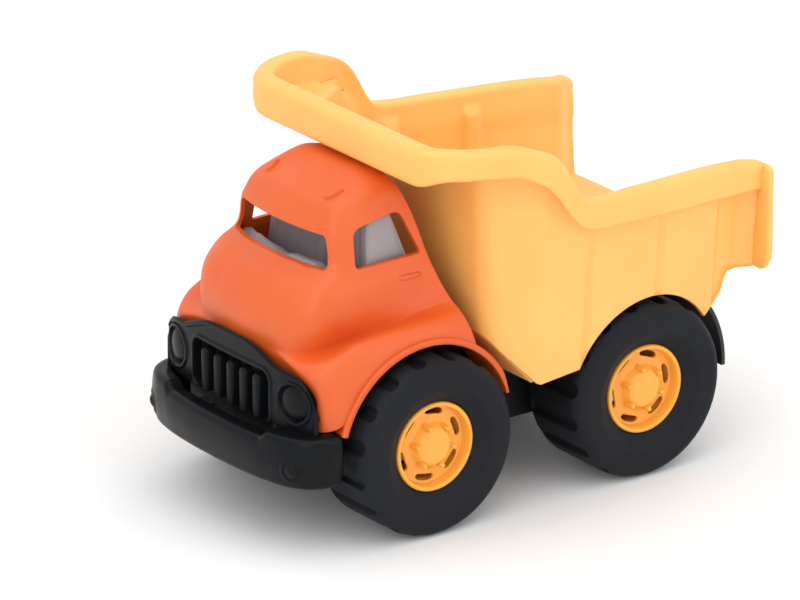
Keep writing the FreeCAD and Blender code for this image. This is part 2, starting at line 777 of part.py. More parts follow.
chassis()
cab()
interior()
grille()
bumper()
bed()
hinge_pin()
for end, place in (("front", "front_axle"), ("rear", "front_axle + wheel_base")):
    axle(f"{end}_axle", place)
    axle_clip(f"{end}_axle_clip", place)
    for side_name, sign in SIDES.items():
        tyre(f"tyre_{end}_{side_name}", sign, place)
        rim(f"rim_{end}_{side_name}", sign, place)
clip_screws()
post_screws("cab_screws", CAB_POSTS)
post_screws("interior_screws", SEAT_POSTS)

doc.recompute()
for item in doc.Objects:
    if "Invalid" in item.State or "Error" in item.State:
        raise RuntimeError(f"{item.Label} failed: {item.State}")
os.makedirs("parts", exist_ok=True)
for item in pieces:
    if item.Shape.isNull() or not item.Shape.isValid():
        raise RuntimeError(f"{item.Label} has no valid shape")
    item.Shape.exportStep(f"parts/{item.Label}.step")
    bounds = item.Shape.BoundBox
    print(f"{item.Label:18s} {item.Shape.Volume:10.0f} solids {len(item.Shape.Solids)}"
          f"  x {bounds.XMin:7.1f} {bounds.XMax:7.1f}  y {bounds.YMin:7.1f} {bounds.YMax:7.1f}"
          f"  z {bounds.ZMin:7.1f} {bounds.ZMax:7.1f}")
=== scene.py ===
import math

import bmesh
import bpy
import numpy as np
from mathutils import Matrix, Vector
from mathutils.bvhtree import BVHTree


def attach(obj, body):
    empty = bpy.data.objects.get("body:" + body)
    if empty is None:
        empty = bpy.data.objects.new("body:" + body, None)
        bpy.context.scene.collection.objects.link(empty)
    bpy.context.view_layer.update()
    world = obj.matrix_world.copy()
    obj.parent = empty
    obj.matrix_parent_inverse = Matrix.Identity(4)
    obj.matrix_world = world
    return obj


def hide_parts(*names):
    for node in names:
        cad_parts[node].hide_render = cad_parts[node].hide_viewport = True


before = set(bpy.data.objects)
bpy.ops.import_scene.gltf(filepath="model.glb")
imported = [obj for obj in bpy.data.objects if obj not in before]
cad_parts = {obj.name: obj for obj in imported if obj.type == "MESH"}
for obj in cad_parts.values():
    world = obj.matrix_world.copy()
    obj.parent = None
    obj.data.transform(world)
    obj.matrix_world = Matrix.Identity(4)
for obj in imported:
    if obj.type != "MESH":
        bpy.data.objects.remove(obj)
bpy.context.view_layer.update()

# Lengths are millimetres in the CAD's frame: +Z up, the truck faces -Y, +X is its left side.
MM = 0.001
FRONT_AXLE = -56.5
REAR_AXLE = 67.9
TYRE_RADIUS = 44.0
TYRE_INNER = 35.0
TYRE_WIDTH = 42.0
LUGS = 16
DISH_INNER = 12.4
DISH_OUTER = 19.0
POST_RING = 10.5
RIM_FACE = 73.0
TAIL = 136.0
BED_FLOOR = 96.5
SKIRT = 62.5
LIP_REACH = 10.4


# ---- outline and mesh helpers ---------------------------------------------------------

def smoothstep(low, high, value):
    """0 below low, 1 above high, smooth between."""
    t = np.clip((np.asarray(value, float) - low) / (high - low), 0, 1)
    return t * t * (3 - 2 * t)


def rounded(corners, radii, arc=5, runs=1):
    """Points along an open outline with its inner corners rounded.
    Outlines with the same number of corners get the same number of points."""
    corners = np.asarray(corners, float)
    count = len(corners)
    runs = [runs] * (count - 1) if np.isscalar(runs) else runs
    points = [corners[0]]
    last = corners[0]
    for index in range(1, count - 1):
        here = corners[index]
        before = corners[index - 1] - here
        after = corners[index + 1] - here
        sizes = np.linalg.norm(before), np.linalg.norm(after)
        reach = min(radii[index - 1], 0.49 * sizes[0], 0.49 * sizes[1])
        start = here + before / max(sizes[0], 1e-9) * reach
        end = here + after / max(sizes[1], 1e-9) * reach
        for step in range(1, runs[index - 1]):
            points.append(last + (start - last) * step / runs[index - 1])
        for t in np.linspace(0, 1, arc + 1):
            points.append((1 - t) ** 2 * start + 2 * t * (1 - t) * here + t ** 2 * end)
        last = end
    for step in range(1, runs[-1] + 1):
        points.append(last + (corners[-1] - last) * step / runs[-1])
    return np.array(points)


def slope_curve(knots, points, at):
    """A smooth curve through points (along the first axis) at its knots, worked out at other places."""
    points = np.asarray(points, float)
    steps = np.diff(knots)
    shape = (-1,) + (1,) * (points.ndim - 1)
    rise = np.diff(points, axis=0) / steps.reshape(shape)
    inner = (rise[:-1] * steps[1:].reshape(shape) + rise[1:] * steps[:-1].reshape(shape))
    inner /= (steps[1:] + steps[:-1]).reshape(shape)
    slope = np.concatenate([rise[:1], inner, rise[-1:]])
    cell = np.clip(np.searchsorted(knots, at, side="right") - 1, 0, len(steps) - 1)
    width = steps[cell].reshape(shape)
    t = ((at - np.asarray(knots)[cell]) / steps[cell]).reshape(shape)
    return ((2 * t ** 3 - 3 * t ** 2 + 1) * points[cell] + (t ** 3 - 2 * t ** 2 + t) * width * slope[cell]
            + (3 * t ** 2 - 2 * t ** 3) * points[cell + 1] + (t ** 3 - t ** 2) * width * slope[cell + 1])


def grid_faces(rows, columns, wrap_rows=False, wrap_columns=False):
    """Quads of a grid of points, row by row."""
    faces = []
    for row in range(rows if wrap_rows else rows - 1):
        for column in range(columns if wrap_columns else columns - 1):
            beside = (column + 1) % columns
            above = (row + 1) % rows
            faces.append((row * columns + column, row * columns + beside,
                          above * columns + beside, above * columns + column))
    return faces


def new_object(name, points, faces, material, sharp=38):
    """A smooth-shaded mesh object from points in millimetres, welded, with its normals outwards."""
    mesh = bpy.data.meshes.new(name)
    mesh.from_pydata([tuple(p) for p in np.asarray(points, float) * MM], [], faces)
    work = bmesh.new()
    work.from_mesh(mesh)
    bmesh.ops.remove_doubles(work, verts=work.verts, dist=1e-6)
    bmesh.ops.dissolve_degenerate(work, edges=work.edges, dist=1e-7)
    bmesh.ops.recalc_face_normals(work, faces=work.faces)
    work.to_mesh(mesh)
    work.free()
    obj = bpy.data.objects.new(name, mesh)
    bpy.context.scene.collection.objects.link(obj)
    mesh.materials.append(material)
    shade(obj, sharp)
    return obj


def shade(obj, sharp=38):
    """Smooth shading, with a sharp edge wherever faces meet at a larger angle."""
    obj.data.shade_smooth()
    obj.data.set_sharp_from_angle(angle=math.radians(sharp))


def settle(obj, sharp=38):
    """Apply an object's modifiers."""
    graph = bpy.context.evaluated_depsgraph_get()
    mesh = bpy.data.meshes.new_from_object(obj.evaluated_get(graph))
    obj.modifiers.clear()
    obj.data = mesh
    shade(obj, sharp)
    return obj


def thicken(obj, thickness):
    """Give an open surface a wall, grown inwards."""
    wall = obj.modifiers.new("wall", "SOLIDIFY")
    wall.thickness = thickness * MM
    wall.offset = -1
    wall.use_even_offset = False
    return settle(obj)


def carve(obj, cutters):
    """Take the cutters out of an object, then drop them."""
    for cutter in cutters:
        take = obj.modifiers.new("carve", "BOOLEAN")
        take.operation = "DIFFERENCE"
        take.solver = "EXACT"
        take.object = cutter
    settle(obj)
    for cutter in cutters:
        bpy.data.objects.remove(cutter)
    return obj


def join(name, parts):
    """Make one object of several, keeping the first one's material."""
    work = bmesh.new()
    for part in parts:
        work.from_mesh(part.data)
    mesh = bpy.data.meshes.new(name)
    work.to_mesh(mesh)
    work.free()
    mesh.materials.append(parts[0].data.materials[0])
    for part in parts:
        bpy.data.objects.remove(part)
    obj = bpy.data.objects.new(name, mesh)
    bpy.context.scene.collection.objects.link(obj)
    shade(obj)
    return obj


def prism(name, outline, axis, low, high, material):
    """A solid of one flat outline between two planes across an axis, x or y."""
    count = len(outline)
    points = []
    for place in (low, high):
        for a, b in outline:
            points.append((place, a, b) if axis == "x" else (a, place, b))
    faces = [tuple(range(count)), tuple(range(2 * count - 1, count - 1, -1))]
    faces += [(i, (i + 1) % count, count + (i + 1) % count, count + i) for i in range(count)]
    return new_object(name, points, faces, material)


def loop_outline(corners, radii, arc=6):
    """A closed outline with every corner rounded."""
    corners = [np.asarray(c, float) for c in corners]
    start = (corners[-1] + corners[0]) / 2
    return rounded([start] + corners + [start], radii, arc)[:-1]


def sweep_solid(name, sections, material, sharp=38):
    """A closed solid through closed sections, each an array of the same number of points."""
    count = len(sections[0])
    points = np.concatenate(sections)
    faces = grid_faces(len(sections), count, wrap_columns=True)
    faces.append(tuple(range(count)))
    faces.append(tuple(range(len(points) - 1, len(points) - count - 1, -1)))
    return new_object(name, points, faces, material, sharp)


def turned(name, outline, side, axle, material, steps=96, closed=True):
    """A solid of revolution about an axle; the outline is (x outwards, radius)."""
    angles = np.arange(steps) * 2 * math.pi / steps
    x, r = np.asarray(outline, float).T
    points = [np.column_stack([side * x, axle + r * math.cos(t), TYRE_RADIUS + r * math.sin(t)])
              for t in angles]
    faces = grid_faces(steps, len(x), wrap_rows=True, wrap_columns=closed)
    return new_object(name, np.concatenate(points), faces, material)


# ---- materials ------------------------------------------------------------------------

def wire(tree, node, socket, source, output=0):
    """Link one node's output to another's input."""
    tree.links.new(source.outputs[output], node.inputs[socket])


def noise(tree, scale, detail=3.0, roughness=0.5):
    """Noise in the object's own coordinates, in metres."""
    place = tree.nodes.new("ShaderNodeTexCoord")
    node = tree.nodes.new("ShaderNodeTexNoise")
    node.inputs["Scale"].default_value = scale
    node.inputs["Detail"].default_value = detail
    node.inputs["Roughness"].default_value = roughness
    wire(tree, node, "Vector", place, "Object")
    return node


def remap(tree, source, low, high):
    """Spread a 0 to 1 value over another range."""
    node = tree.nodes.new("ShaderNodeMapRange")
    node.inputs["From Min"].default_value = 0.3
    node.inputs["From Max"].default_value = 0.7
    node.inputs["To Min"].default_value = low
    node.inputs["To Max"].default_value = high
    wire(tree, node, "Value", source, 0)
    return node


def moulded(name, colour, deep, roughness, grain=900, relief=0.00004, soften=0.0004,
            subsurface=0.0, specular=0.5, metallic=0.0, coat=0.0):
    """Moulded plastic, rubber or metal: slow colour drift, uneven gloss, fine grain and softened edges."""
    material = bpy.data.materials.new(name)
    material.use_nodes = True
    tree = material.node_tree
    shader = tree.nodes["Principled BSDF"]
    blend = tree.nodes.new("ShaderNodeMix")
    blend.data_type = "RGBA"
    blend.inputs["A"].default_value = (*deep, 1)
    blend.inputs["B"].default_value = (*colour, 1)
    drift = noise(tree, 28, 4, 0.55)
    wire(tree, blend, 0, remap(tree, drift, 0.25, 1.0))
    tree.links.new(blend.outputs["Result"], shader.inputs["Base Color"])
    patches = noise(tree, 75, 5, 0.6)
    wire(tree, shader, "Roughness", remap(tree, patches, roughness - 0.05, roughness + 0.06))
    fine = noise(tree, grain, 2, 0.5)
    edges = tree.nodes.new("ShaderNodeBevel")
    edges.samples = 4
    edges.inputs["Radius"].default_value = soften
    bump = tree.nodes.new("ShaderNodeBump")
    bump.inputs["Strength"].default_value = 0.35
    bump.inputs["Distance"].default_value = relief
    wire(tree, bump, "Height", fine)
    wire(tree, bump, "Normal", edges)
    wire(tree, shader, "Normal", bump)
    shader.inputs["Specular IOR Level"].default_value = specular
    shader.inputs["Metallic"].default_value = metallic
    shader.inputs["Coat Weight"].default_value = coat
    shader.inputs["Coat Roughness"].default_value = 0.3
    if subsurface:
        shader.inputs["Subsurface Weight"].default_value = subsurface
        shader.inputs["Subsurface Radius"].default_value = (1.0, 0.45, 0.2)
        shader.inputs["Subsurface Scale"].default_value = 0.004
    return material


ORANGE = moulded("orange_plastic", (0.74, 0.118, 0.018), (0.69, 0.100, 0.014), 0.40, subsurface=0.12)
YELLOW = moulded("bed_plastic", (0.98, 0.52, 0.135), (0.95, 0.47, 0.110), 0.44, subsurface=0.18)
RIM_YELLOW = moulded("rim_plastic", (0.94, 0.42, 0.055), (0.90, 0.37, 0.042), 0.38, subsurface=0.12)
RUBBER = moulded("tyre_rubber", (0.0120, 0.0135, 0.0170), (0.0090, 0.0102, 0.0130), 0.58, 1400, 0.00008,
                 0.0005, specular=0.16)
BLACK = moulded("black_plastic", (0.0050, 0.0058, 0.0072), (0.0036, 0.0042, 0.0054), 0.30, 1100, 0.00003,
                specular=0.14)
FRAME_BLACK = moulded("chassis_plastic", (0.010, 0.011, 0.013), (0.007, 0.008, 0.010), 0.48, 1100,
                      0.00005)
GREY = moulded("interior_plastic", (0.34, 0.31, 0.33), (0.29, 0.265, 0.285), 0.38, subsurface=0.05)
STEEL = moulded("screw_steel", (0.58, 0.58, 0.57), (0.46, 0.46, 0.45), 0.30, 2500, 0.00002, 0.0002,
                metallic=1.0)


# ---- wheels ---------------------------------------------------------------------------

def lug_angles():
    """Angles round the tyre, closer together at the walls of the grooves."""
    pitch = 2 * math.pi * TYRE_RADIUS / LUGS
    half = np.array([0.7, 1.5, 2.2, 2.6, 2.9, 3.2, 3.5, 3.8, 4.2, 5.2, 6.8])
    places = np.concatenate([-half[::-1], half])
    whole = np.concatenate([places + pitch * lug for lug in range(LUGS)])
    return whole / TYRE_RADIUS


def groove(across, along):
    """How deep a place on the tread lies in its groove, 0 to 1: across the tyre, and along it."""
    half_length, half_width, corner, soft = 17.6, 3.3, 2.4, 1.2
    dx = np.abs(across - TYRE_WIDTH / 2) - (half_length - corner)
    dy = np.abs(along) - (half_width - corner)
    outside = np.hypot(np.maximum(dx, 0), np.maximum(dy, 0)) + np.minimum(np.maximum(dx, dy), 0) - corner
    return 1 - smoothstep(-soft / 2, soft / 2, outside)


def tyre(name, side, axle, body):
    """Balloon tyre: flat sidewall with a conical recess round the rim, and grooves across the tread."""
    outline = rounded([(2, 21.2), (2, 29), (0, 33), (0, 40.6), (4.2, TYRE_RADIUS),
                       (37.8, TYRE_RADIUS), (TYRE_WIDTH, 40.6), (TYRE_WIDTH, 29.7), (37.4, 22.7),
                       (35.5, 21.2)],
                      [3, 4, 3, 4.5, 4.5, 3, 1.4, 1.2], arc=8, runs=[1, 1, 2, 1, 26, 1, 5, 3, 1])
    across, radius = outline.T
    pitch = 2 * math.pi / LUGS
    floor = TYRE_RADIUS - 2.8
    rows = []
    for angle in lug_angles():
        along = ((angle / pitch + 0.5) % 1 - 0.5) * pitch * TYRE_RADIUS
        turned_by = angle + pitch / 2
        cut = np.maximum(radius - floor, 0) * groove(across, along)
        r = radius - cut
        x = side * (TYRE_INNER + across)
        rows.append(np.column_stack([x, axle + r * math.cos(turned_by),
                                     TYRE_RADIUS + r * math.sin(turned_by)]))
    faces = grid_faces(len(rows), len(across), wrap_rows=True, wrap_columns=True)
    obj = new_object(name.replace("tyre", "tread"), np.concatenate(rows), faces, RUBBER, 50)
    return place(obj, body, "tyre_rubber", name)


def dish_sector():
    """One sixth of the dish: rings of (angle, radius) from its oval window out to the sector's edge."""
    low, high, middle = DISH_INNER, DISH_OUTER, 16.4
    half = math.pi / 6
    steps_round, steps_side = 14, 4
    edge = [(a, high) for a in np.linspace(-half, half, steps_round + 1)[:-1]]
    edge += [(half, r) for r in np.linspace(high, low, steps_side + 1)[:-1]]
    edge += [(a, low) for a in np.linspace(half, -half, steps_round + 1)[:-1]]
    edge += [(-half, r) for r in np.linspace(low, high, steps_side + 1)[:-1]]
    edge = np.array(edge)
    turn = np.arctan2((edge[:, 1] - middle) / (high - low), edge[:, 0] / half)
    square = np.sign([np.cos(turn), np.sin(turn)]) * np.abs([np.cos(turn), np.sin(turn)]) ** 0.75
    window = np.column_stack([0.32 * square[0], middle + 1.65 * square[1]])
    return [window + (edge - window) * t for t in (0, 0.12, 0.45, 1)]


def dish_depth(radius):
    """Depth of the dish behind the rim's face at a radius."""
    return np.interp(radius, [DISH_INNER, 14.0, 17.5, DISH_OUTER], [4.9, 5.3, 5.4, 5.0])


def rim(name, side, axle, phase, body):
    """Yellow rim: rolled flange, dish with six oval windows, and a drum with six lug posts."""
    half = math.pi / 6
    rings = dish_sector()
    count = len(rings[0])
    points = []
    faces = []
    for sector in range(6):
        base = len(points)
        for ring in rings:
            for angle, radius in ring:
                points.append((RIM_FACE - dish_depth(radius), radius, angle + sector * 2 * half))
        faces += [tuple(base + i for i in face) for face in grid_faces(len(rings), count, wrap_columns=True)]
    around = np.concatenate([np.linspace(-half, half, 15)[:-1] + sector * 2 * half for sector in range(6)])
    flange = rounded([(3.4, 20.9), (3.4, 22), (0, 22), (0, 19.9), (dish_depth(DISH_OUTER), DISH_OUTER)],
                     [0.4, 1.3, 1.5], arc=5, runs=[1, 1, 1, 4])
    drum = rounded([(dish_depth(DISH_INNER), DISH_INNER), (4.5, 11.2), (0.1, 8.9), (0.3, 0.6)], [0.8, 1.2],
                   arc=5, runs=[1, 2, 3])
    for outline in (flange, drum):
        base = len(points)
        for angle in around:
            points += [(RIM_FACE - depth, radius, angle) for depth, radius in outline]
        faces += [tuple(base + i for i in face)
                  for face in grid_faces(len(around), len(outline), wrap_rows=True)]
        if outline is drum:
            faces.append(tuple(base + (i + 1) * len(outline) - 1 for i in range(len(around))))
    x, r, angle = np.array(points).T
    angle = angle + phase + half
    shell = new_object(name, np.column_stack([side * x, axle + r * np.cos(angle),
                                              TYRE_RADIUS + r * np.sin(angle)]), faces, RIM_YELLOW)
    thicken(shell, 1.5)
    barrel = turned("barrel", [(RIM_FACE - 9, 18.3), (43, 19), (43, 21), (RIM_FACE - 3.2, 21),
                               (RIM_FACE - 3.2, 20.2)], side, axle, RIM_YELLOW)
    hub = turned("hub", [(RIM_FACE - 4.6, 3.2), (28.9, 3.2), (28.9, 8.6), (29.3, 9),
                         (RIM_FACE - 11, 9), (RIM_FACE - 4.6, 9.3)], side, axle, RIM_YELLOW)
    parts = [shell, barrel, hub]
    for post in range(6):
        parts.append(lug_post(side, axle, phase + post * 2 * half))
    obj = join(name.replace("rim", "wheel"), parts)
    return place(obj, body, "rim_plastic", name)


def lug_post(side, axle, angle):
    """A small round-ended post on the side of the drum."""
    outline = rounded([(5.2, 1.5), (-0.9, 1.25), (-1.5, 0.9), (-1.6, 0.02)], [0.5, 0.5],
                      arc=3, runs=[2, 1, 1])
    centre_y = axle + POST_RING * math.cos(angle)
    centre_z = TYRE_RADIUS + POST_RING * math.sin(angle)
    rows = []
    for turn in np.arange(16) * math.pi / 8:
        rows.append([(side * (RIM_FACE - depth), centre_y + r * math.cos(turn), centre_z + r * math.sin(turn))
                     for depth, r in outline])
    faces = grid_faces(16, len(outline), wrap_rows=True)
    return new_object("post", np.concatenate(rows), faces, RIM_YELLOW)


def place(obj, body, slot, *nodes):
    """Let a finished piece ride on its body and stand for its CAD nodes."""
    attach(obj, body)
    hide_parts(*nodes)
    return obj


# ---- cab ------------------------------------------------------------------------------

# Rows of points on the cab's left half, from the wheel arch up to the middle of the roof.
# Each row runs from the cab's rear edge, along the side, round the front corner to the middle.
CAB_ROWS = [
    [(65.4, -26.5, 84), (65.5, -41, 92), (65.6, -56.5, 94.6), (65.5, -76, 90.4), (65.4, -93, 79.0),
     (65, -103.5, 63.5), (59.5, -111.5, 60), (41, -113, 60), (0, -114, 60)],
    [(64.2, -28.5, 92), (64.4, -41, 96.8), (64.5, -56.5, 98.3), (64.4, -76, 95.6), (64.3, -93, 88.0),
     (64, -104.5, 76), (58.5, -112.5, 75), (40, -113.5, 75), (0, -114.5, 75)],
    [(60.6, -31.5, 101), (60.4, -42, 102.2), (60, -57, 102.4), (59.6, -76, 101.2), (59.2, -94, 98.0),
     (58.6, -106.5, 91.5), (51, -115.2, 87.4), (35, -116, 87), (0, -116.8, 87)],
    [(54, -34, 107.6), (52, -44, 105), (49.6, -58, 101.4), (46.8, -74, 98.2), (44.6, -90, 95.2),
     (42.2, -104.5, 93), (35.5, -113.4, 92.5), (22, -117, 93), (0, -118.8, 93)],
    [(50.2, -35.6, 113), (49, -45, 111.2), (47.8, -59, 109.4), (47.2, -74, 107.6), (46.6, -92, 106.4),
     (43.8, -106.3, 105.5), (36, -113.6, 104.5), (20, -117.2, 104.2), (0, -118.4, 104)],
    [(46.8, -38.4, 121.5), (46.7, -46, 121.3), (46.6, -60, 120.6), (46.8, -76, 119.4), (46.2, -91.5, 118.3),
     (43.2, -104, 116.8), (34, -110.5, 116.3), (18, -113.3, 116), (0, -114.3, 116)],
    [(45, -39.2, 125), (45, -46, 125.2), (44.9, -60, 125.2), (44.7, -77, 124.9), (43.8, -89.8, 124.5),
     (40.8, -99, 124), (31.5, -105, 123.8), (16.5, -107.8, 123.7), (0, -108.8, 123.6)],
    [(43.6, -40, 128.5), (43.6, -46.5, 128.8), (43.5, -60, 129), (43.2, -77, 129), (41.8, -87.6, 128.8),
     (37.6, -93.8, 128.3), (28, -97.6, 128), (15, -99.8, 127.8), (0, -100.6, 127.7)],
    [(38.8, -47, 151.5), (38.7, -53, 151.5), (38.6, -63, 151), (38.3, -77.5, 149.5), (37, -85.5, 148.2),
     (33.6, -90, 147.4), (24.3, -92.4, 147.2), (12, -93.8, 147.4), (0, -94.2, 147.5)],
    [(34.9, -51, 161.4), (34.9, -56, 162.2), (34.6, -64, 161.4), (33.9, -75, 159.2), (32.3, -82.8, 157.4),
     (28.2, -86.4, 156.6), (19.5, -88.2, 156.6), (9.7, -89, 156.8), (0, -89.4, 156.9)],
    [(23.5, -52, 166.2), (23.5, -57, 167.1), (23, -64, 166.4), (21.8, -72, 163.6), (19.3, -78, 161.6),
     (15.8, -81, 160.8), (10.7, -82.8, 160.4), (5.3, -83.6, 160.2), (0, -83.9, 160.2)],
    [(0, -52.3, 167.6), (0, -57.5, 168), (0, -64, 167.9), (0, -70.5, 165.9), (0, -74.5, 164.5),
     (0, -77, 163.4), (0, -79, 162.5), (0, -80.4, 161.8), (0, -81.4, 161.3)],
]


def mirror(points):
    """The same points on the truck's other side."""
    return np.asarray(points, float) * (-1, 1, 1)


def tight_row(rows, index, share):
    """Rows with two more laid close beside one of them, so the surface bends there sharply."""
    below = rows[index] + share * (rows[index - 1] - rows[index])
    above = rows[index] + share * (rows[index + 1] - rows[index])
    return np.concatenate([rows[:index], [below, rows[index], above], rows[index + 1:]])


def cab_skin():
    """The cab's outer surface: hood, greenhouse and fenders in one flowing sheet."""
    half = tight_row(np.array(CAB_ROWS, float), 3, 0.17)
    across = np.concatenate([half, mirror(half[:, -2::-1])], axis=1)
    over = np.concatenate([across, mirror(across[-2::-1])], axis=0)
    column_steps = np.linalg.norm(np.diff(across[:9], axis=1), axis=2).mean(axis=0)
    row_steps = np.linalg.norm(np.diff(over, axis=0), axis=2).mean(axis=1)
    column_knots = np.concatenate([[0], np.cumsum(column_steps)])
    row_knots = np.concatenate([[0], np.cumsum(row_steps)])
    columns = np.concatenate([np.linspace(a, b, max(2, round((b - a) / 1.6)), endpoint=False)
                              for a, b in zip(column_knots, column_knots[1:])] + [column_knots[-1:]])
    top = row_knots[len(half) - 1]
    rows = np.concatenate([np.linspace(a, b, max(2, round((b - a) / 1.4)), endpoint=False)
                           for a, b in zip(row_knots, row_knots[1:]) if b <= top + 0.01] + [[top]])
    sheet = slope_curve(row_knots, over, rows)
    sheet = np.moveaxis(slope_curve(column_knots, np.moveaxis(sheet, 1, 0), columns), 0, 1)
    faces = grid_faces(sheet.shape[0], sheet.shape[1])
    return new_object("skin", sheet.reshape(-1, 3), faces, ORANGE, 60)


def arch_band(side):
    """The raised lip round a front wheel arch, with the liner behind it, ending in a thin tail."""
    rows = []
    for angle in np.radians(np.linspace(17.5, 163.5, 90)):
        inner = 48.2
        outer = 51.4 - 1.6 * smoothstep(math.radians(32), math.radians(17), angle)
        depth = 22 - 12 * smoothstep(math.radians(60), math.radians(150), angle)
        section = loop_outline([(67.5 - depth, inner), (67.5, inner), (67.5, outer), (65.2, outer),
                                (64.4, inner + 1.9), (67.5 - depth, inner + 1.9)],
                               [0.3, 0.8, 1.1, 0.9, 0.7, 0.3], 4)
        x, r = section.T
        rows.append(np.column_stack([side * x, FRONT_AXLE + r * math.cos(angle),
                                     TYRE_RADIUS + r * math.sin(angle)]))
    return sweep_solid("arch", rows, ORANGE)


def window_cutters():
    """The side windows, cut straight through, and the windscreen."""
    side = loop_outline([(-80.6, 128.6), (-79.6, 146.8), (-53, 151.3), (-43.2, 129.2)],
                        [2.2, 4.5, 4.5, 2.2])
    screen = loop_outline([(36.4, 129), (33.4, 145), (-33.4, 145), (-36.4, 129)], [1.8, 2.6, 2.6, 1.8])
    return [prism("side_cut", side, "x", -80, 80, ORANGE),
            prism("screen_cut", screen, "y", -125, -80, ORANGE)]


def relief_on(target, name, outline, start, aim, up, height, material):
    """A low raised shape on a surface: the outline, around a point found by looking along aim."""
    tree = BVHTree.FromPolygons([v.co for v in target.data.vertices],
                                [p.vertices for p in target.data.polygons])
    hit, normal, _, _ = tree.ray_cast(Vector(start) * MM, Vector(aim).normalized())
    along = (Vector(up) - normal * normal.dot(Vector(up))).normalized()
    beside = along.cross(normal)
    outline = np.asarray(outline, float)
    middle = outline.mean(axis=0)
    rows = []
    for scale, lift in ((1.0, -0.6), (1.0, 0.15), (0.86, 0.8), (0.6, 1.0)):
        rows.append([])
        for a, b in middle + (outline - middle) * scale:
            across = hit + (along * a + beside * b) * MM
            found, _, _, _ = tree.ray_cast(across + normal * 0.01, -normal)
            rows[-1].append(found / MM + normal * lift * height)
    return sweep_solid(name, [np.array(row) for row in rows], material, 60)


def cab():
    """Orange cab: skin with windows, arch lips, roof markers and door handles."""
    skin = thicken(cab_skin(), 2.3)
    carve(skin, window_cutters())
    parts = [skin]
    marker = loop_outline([(-4.6, 0.7), (-1.6, 1.8), (2.2, 1.1), (5.6, 0.4), (5.6, -0.4), (2.2, -1.1),
                           (-1.6, -1.8), (-4.6, -0.7)], [0.8] * 8, 3)
    handle = loop_outline([(-6, 1.1), (6, 1.1), (6, -1.1), (-6, -1.1)], [1.0] * 4, 4)
    for name, side in (("left", 1), ("right", -1)):
        parts.append(relief_on(skin, f"marker_{name}", marker, (side * 24.4, -80, 190), (0, 0, -1),
                               (side * 0.25, 1, 0.35), 1.7, ORANGE))
        parts.append(relief_on(skin, f"handle_{name}", handle, (side * 90, -52, 120.5), (-side, 0, 0),
                               (0, 1, 0), 0.9, ORANGE))
        parts.append(arch_band(side))
    obj = join("cab_body", parts)
    return place(obj, "chassis", "orange_plastic", "cab_shell")


def seat_block():
    """Grey bench that fills the cab's width, with an upright back ribbed on its front."""
    outline = loop_outline([(-83, 104), (-83, 113), (-72, 113.5), (-68.5, 149), (-56, 151.5), (-47.8, 124),
                            (-45.5, 104)], [1, 3, 1.5, 3.5, 3.5, 5, 1], 5)
    middle = outline.mean(axis=0)
    reach = 41 - 0.21 * np.maximum(outline[:, 1] - 128, 0)
    front = (outline[:, 0] < -64) & (outline[:, 1] > 113.4) & (outline[:, 1] < 148.5)
    sections = []
    for place_s in np.linspace(-1, 1, 257):
        end = 40 * (1 - abs(place_s))
        shrink = 1 - 0.09 * (1 - math.sqrt(1 - (1 - min(end, 3) / 3) ** 2))
        section = middle + (outline - middle) * shrink
        section[front, 0] -= 0.9 * smoothstep(0.15, 0.6, abs(math.sin(math.pi * place_s * 6)))
        sections.append(np.column_stack([place_s * reach, section]))
    return sweep_solid("seat", sections, GREY)


def dashboard():
    """Grey dashboard along the windscreen's sill, bowed forwards, with a raised instrument hood."""
    sections = []
    for x in np.linspace(-37, 37, 149):
        hood = 1.6 * smoothstep(11, 8, abs(x - 16)) + 0.7 * smoothstep(13, 11.5, abs(x + 15)) + 2.2
        bow = 0.0042 * x * x
        outline = loop_outline([(-100.5 + bow, 108), (-99 + bow, 121.5), (-93.5 + bow, 125.4 + hood),
                                (-88 + bow, 124.6 + hood), (-86.5 + bow, 108)], [1, 3, 1.5, 1.8, 1], 4)
        sections.append(np.column_stack([np.full(len(outline), x), outline]))
    return sweep_solid("dashboard", sections, GREY)


def interior():
    """Seat, dashboard and the floor between them."""
    floor = prism("floor", loop_outline([(-100, 100), (-100, 108.5), (-46, 108.5), (-46, 100)], [1] * 4),
                  "x", -41, 41, GREY)
    obj = join("cabin_insert", [seat_block(), dashboard(), floor])
    return place(obj, "chassis", "grey_plastic", "cab_interior")


# ---- grille and bumper ----------------------------------------------------------------

def along_path(corners, step):
    """Even points along a path, with its directions and the distance from its middle."""
    corners = np.asarray(corners, float)
    sizes = np.linalg.norm(np.diff(corners, axis=0), axis=1)
    knots = np.concatenate([[0], np.cumsum(sizes)])
    dense = slope_curve(knots, corners, np.linspace(0, knots[-1], 2000))
    run = np.concatenate([[0], np.cumsum(np.linalg.norm(np.diff(dense, axis=0), axis=1))])
    even = np.linspace(0, run[-1], round(run[-1] / step) + 1)
    points = np.column_stack([np.interp(even, run, dense[:, i]) for i in range(2)])
    ahead = np.gradient(points, axis=0)
    ahead /= np.linalg.norm(ahead, axis=1)[:, None]
    outward = np.column_stack([ahead[:, 1], -ahead[:, 0]])
    return points, outward, even - even[-1] / 2


def both_sides(half):
    """A path from its middle out, made whole."""
    return [(-x, y) for x, y in half[:0:-1]] + list(half)


def box_distance(a, b, half_a, half_b, corner):
    """Distance outside a rounded rectangle, negative inside."""
    da = np.abs(a) - (half_a - corner)
    db = np.abs(b) - (half_b - corner)
    return np.hypot(np.maximum(da, 0), np.maximum(db, 0)) + np.minimum(np.maximum(da, db), 0) - corner


